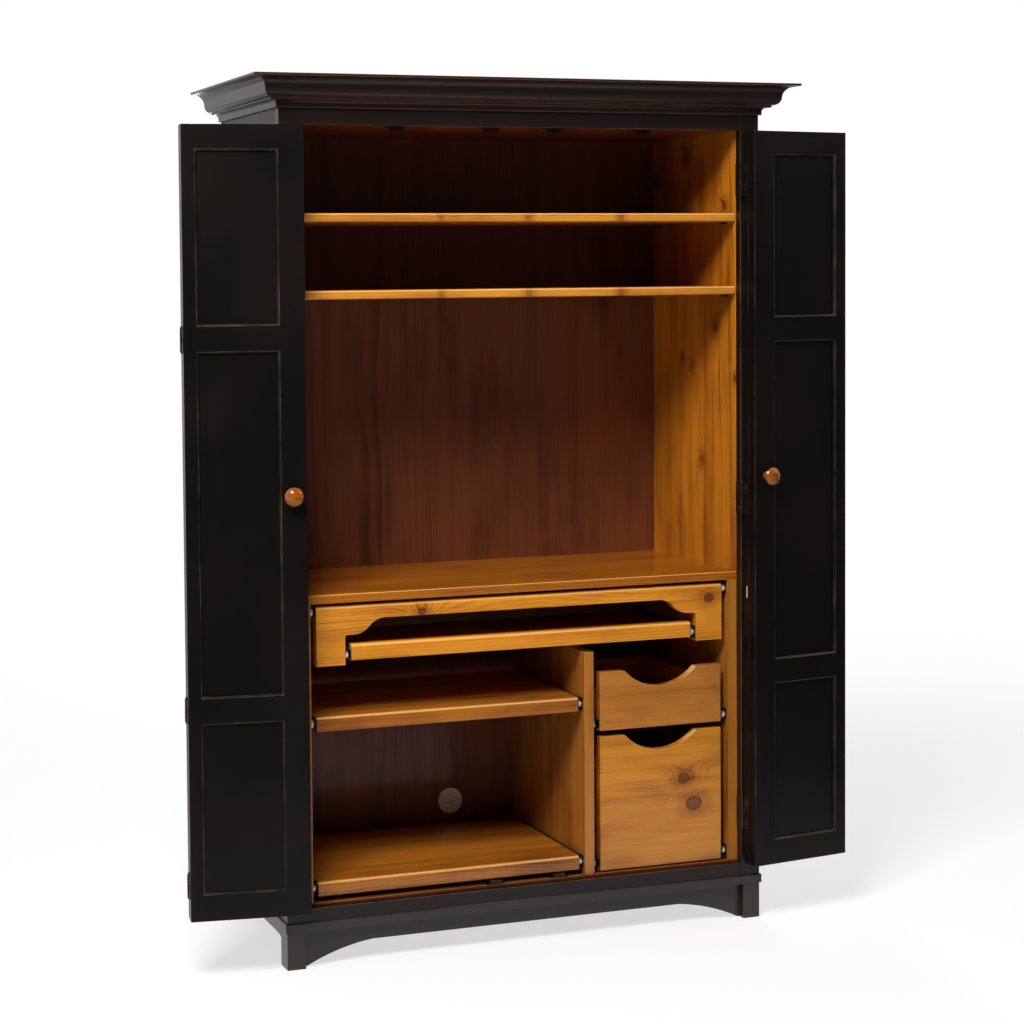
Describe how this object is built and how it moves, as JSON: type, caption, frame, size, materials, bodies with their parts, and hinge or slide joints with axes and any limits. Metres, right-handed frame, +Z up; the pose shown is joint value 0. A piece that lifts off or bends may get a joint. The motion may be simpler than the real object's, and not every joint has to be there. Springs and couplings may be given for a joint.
{
  "type": "cupboard computer desk",
  "caption": "Tall computer desk in a cupboard: folding doors close over shelves, a desktop, a pull-out work surface with a sliding tray, pull-out shelves and drawers.",
  "frame": {"origin": "on the floor, under the middle of the object's box with the doors folded open", "axes": "+Z up, -Y out of the front, +X to the right seen from the front"},
  "size_m": [1.4798, 0.5092, 1.796],
  "materials": {
    "black_paint": "satin black-brown paint, rubbed through to tan wood at the edges",
    "pine": "honey-stained knotty pine under satin lacquer",
    "aged_metal": "aged dark brown metal",
    "runner_steel": "dark powder-coated steel",
    "nylon": "off-white nylon",
    "knob_wood": "turned reddish-brown wood, lacquered",
    "outlet_plastic": "grey-brown plastic"
  },
  "bodies": {
    "case": {"side_panels": "black_paint", "side_linings": "pine", "back_panel": "pine", "ceiling_board": "pine", "floor_board": "pine", "face_stiles": "black_paint", "face_rails": "black_paint", "crown_moulding": "black_paint", "crown_cover": "black_paint", "base_trim": "black_paint", "aprons": "black_paint", "feet": "black_paint", "desktop": "pine", "adjustable_shelves": "pine", "shelf_pins": "aged_metal", "partition": "pine", "runner_boards": "pine", "door_catches": "aged_metal", "case_hinge_wings": "aged_metal", "case_runners": "runner_steel", "outlet_sleeve": "outlet_plastic"},
    "outlet_cap": {"outlet_cap": "outlet_plastic"},
    "left_hinge_leaf": {"left_hinge_leaf_frame": "black_paint", "left_hinge_leaf_panels": "black_paint", "left_door_hinge_wings": "aged_metal", "left_fold_wings_outer": "aged_metal"},
    "left_lead_leaf": {"left_lead_leaf_frame": "black_paint", "left_lead_leaf_panels": "black_paint", "left_fold_wings_inner": "aged_metal", "left_knob": "knob_wood"},
    "right_hinge_leaf": {"right_hinge_leaf_frame": "black_paint", "right_hinge_leaf_panels": "black_paint", "right_door_hinge_wings": "aged_metal", "right_fold_wings_outer": "aged_metal"},
    "right_lead_leaf": {"right_lead_leaf_frame": "black_paint", "right_lead_leaf_panels": "black_paint", "right_fold_wings_inner": "aged_metal", "right_knob": "knob_wood"},
    "work_surface": {"work_surface_board": "pine", "work_surface_front": "pine", "work_surface_cheeks": "pine", "work_surface_runners": "runner_steel"},
    "tray": {"tray_board": "pine", "tray_runners": "runner_steel"},
    "middle_shelf": {"middle_shelf_board": "pine", "middle_shelf_runners": "runner_steel"},
    "bottom_shelf": {"bottom_shelf_board": "pine", "bottom_shelf_runners": "runner_steel"},
    "small_drawer": {"small_drawer_front": "pine", "small_drawer_box": "pine", "small_drawer_runners": "runner_steel"},
    "file_drawer": {"file_drawer_front": "pine", "file_drawer_box": "pine", "file_drawer_runners": "runner_steel"},
    "work_surface_rollers": {"work_surface_rollers": "nylon"},
    "tray_rollers": {"tray_rollers": "nylon"},
    "middle_shelf_rollers": {"middle_shelf_rollers": "nylon"},
    "bottom_shelf_rollers": {"bottom_shelf_rollers": "nylon"},
    "small_drawer_rollers": {"small_drawer_rollers": "nylon"},
    "file_drawer_rollers": {"file_drawer_rollers": "nylon"}
  },
  "joints": [
    {"name": "left_door", "type": "hinge", "parent": "case", "child": "left_hinge_leaf", "pos_m": [-0.4905, -0.18036, 0.965], "axis": [0, 0, -1], "range_deg": [-188, 0]},
    {"name": "left_fold", "type": "hinge", "parent": "left_hinge_leaf", "child": "left_lead_leaf", "pos_m": [-0.73693, -0.17158, 0.965], "axis": [0, 0, 1], "range_deg": [-180, 0]},
    {"name": "right_door", "type": "hinge", "parent": "case", "child": "right_hinge_leaf", "pos_m": [0.4905, -0.18036, 0.965], "axis": [0, 0, 1], "range_deg": [-188, 0]},
    {"name": "right_fold", "type": "hinge", "parent": "right_hinge_leaf", "child": "right_lead_leaf", "pos_m": [0.73693, -0.17158, 0.965], "axis": [0, 0, -1], "range_deg": [-180, 0]},
    {"name": "work_surface_slide", "type": "slide", "parent": "case", "child": "work_surface", "axis": [0, -1, 0], "range_m": [0, 0.28]},
    {"name": "tray_slide", "type": "slide", "parent": "work_surface", "child": "tray", "axis": [0, -1, 0], "range_m": [0, 0.22]},
    {"name": "middle_shelf_slide", "type": "slide", "parent": "case", "child": "middle_shelf", "axis": [0, -1, 0], "range_m": [0, 0.27]},
    {"name": "bottom_shelf_slide", "type": "slide", "parent": "case", "child": "bottom_shelf", "axis": [0, -1, 0], "range_m": [0, 0.27]},
    {"name": "small_drawer_slide", "type": "slide", "parent": "case", "child": "small_drawer", "axis": [0, -1, 0], "range_m": [0, 0.28]},
    {"name": "file_drawer_slide", "type": "slide", "parent": "case", "child": "file_drawer", "axis": [0, -1, 0], "range_m": [0, 0.28]},
    {"name": "work_surface_roll", "type": "hinge", "parent": "case", "child": "work_surface_rollers", "pos_m": [0, -0.13237, 0.717], "axis": [1, 0, 0], "continuous": true},
    {"name": "tray_roll", "type": "hinge", "parent": "work_surface", "child": "tray_rollers", "pos_m": [0, -0.13237, 0.627], "axis": [1, 0, 0], "continuous": true},
    {"name": "middle_shelf_roll", "type": "hinge", "parent": "case", "child": "middle_shelf_rollers", "pos_m": [0, -0.13237, 0.4895], "axis": [1, 0, 0], "continuous": true},
    {"name": "bottom_shelf_roll", "type": "hinge", "parent": "case", "child": "bottom_shelf_rollers", "pos_m": [0, -0.13237, 0.1515], "axis": [1, 0, 0], "continuous": true},
    {"name": "small_drawer_roll", "type": "hinge", "parent": "case", "child": "small_drawer_rollers", "pos_m": [0, -0.13237, 0.442], "axis": [1, 0, 0], "continuous": true},
    {"name": "file_drawer_roll", "type": "hinge", "parent": "case", "child": "file_drawer_rollers", "pos_m": [0, -0.13237, 0.144], "axis": [1, 0, 0], "continuous": true},
    {"name": "outlet_turn", "type": "hinge", "parent": "case", "child": "outlet_cap", "pos_m": [-0.022, 0.24063, 0.21], "axis": [0, 1, 0], "continuous": true}
  ],
  "couplings": [
    {"joint": "left_fold", "follows": "left_door", "ratio": 0.95744},
    {"joint": "right_fold", "follows": "right_door", "ratio": 0.95744},
    {"joint": "work_surface_roll", "follows": "work_surface_slide", "rad_per_m": 111.11},
    {"joint": "tray_roll", "follows": "tray_slide", "rad_per_m": 111.11},
    {"joint": "middle_shelf_roll", "follows": "middle_shelf_slide", "rad_per_m": 111.11},
    {"joint": "bottom_shelf_roll", "follows": "bottom_shelf_slide", "rad_per_m": 111.11},
    {"joint": "small_drawer_roll", "follows": "small_drawer_slide", "rad_per_m": 111.11},
    {"joint": "file_drawer_roll", "follows": "file_drawer_slide", "rad_per_m": 111.11}
  ]
}
